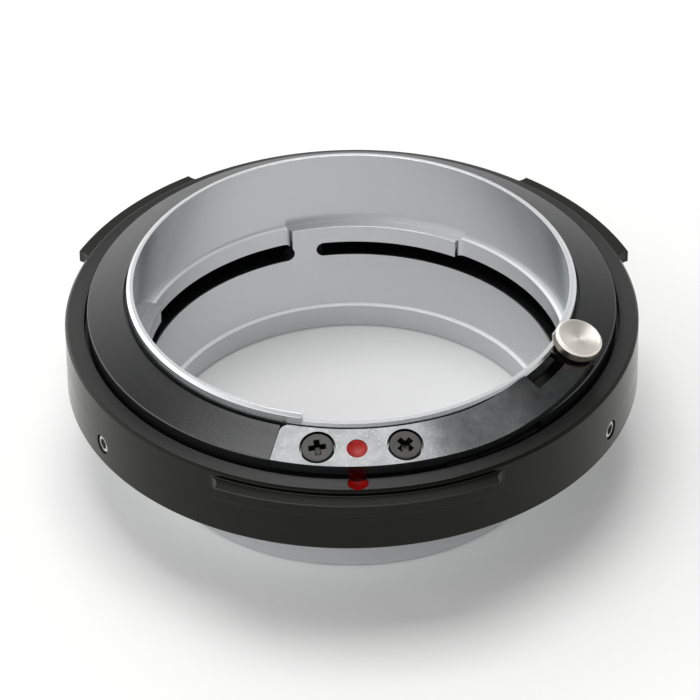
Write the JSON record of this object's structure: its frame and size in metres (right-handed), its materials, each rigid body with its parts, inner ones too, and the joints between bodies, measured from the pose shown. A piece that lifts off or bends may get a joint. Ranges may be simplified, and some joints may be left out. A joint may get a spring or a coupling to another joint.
{
  "type": "lens mount adapter",
  "caption": "Short plated tube with a lens throat, a sloped black face with a sprung lock and push button, and a clamped outer bayonet ring, to join a lens to a camera body",
  "frame": {"origin": "On the axis, at the underside of the foot", "axes": "+Z points out of the lens throat, -Y points at the two index dots, +X completes the frame"},
  "size_m": [0.05, 0.0513, 0.0185],
  "materials": {
    "plated": "satin plating",
    "black_face": "black anodised, turned",
    "black_ring": "black anodised, turned",
    "spring_steel": "grey, finely blasted",
    "screw_steel": "blackened",
    "red_paint": "enamel fill",
    "button_plate": "bright plating"
  },
  "bodies": {
    "main": {"bayonet_tube": "plated", "face_ring": "black_face", "outer_ring": "black_ring", "lock_spring": "spring_steel", "plate_screws": "screw_steel", "grub_screws": "screw_steel", "plate_index_dot": "red_paint", "ring_index_dot": "red_paint"},
    "button": {"release_button": "button_plate"}
  },
  "joints": [
    {"name": "release_press", "type": "hinge", "parent": "main", "child": "button", "pos_m": [0.0107, -0.01816, 0.01576], "axis": [-0.5075, 0.8616, 0], "range_deg": [0, 3.6], "stiffness_Nm_per_rad": 0.4, "deforming": ["lock_spring"]}
  ]
}
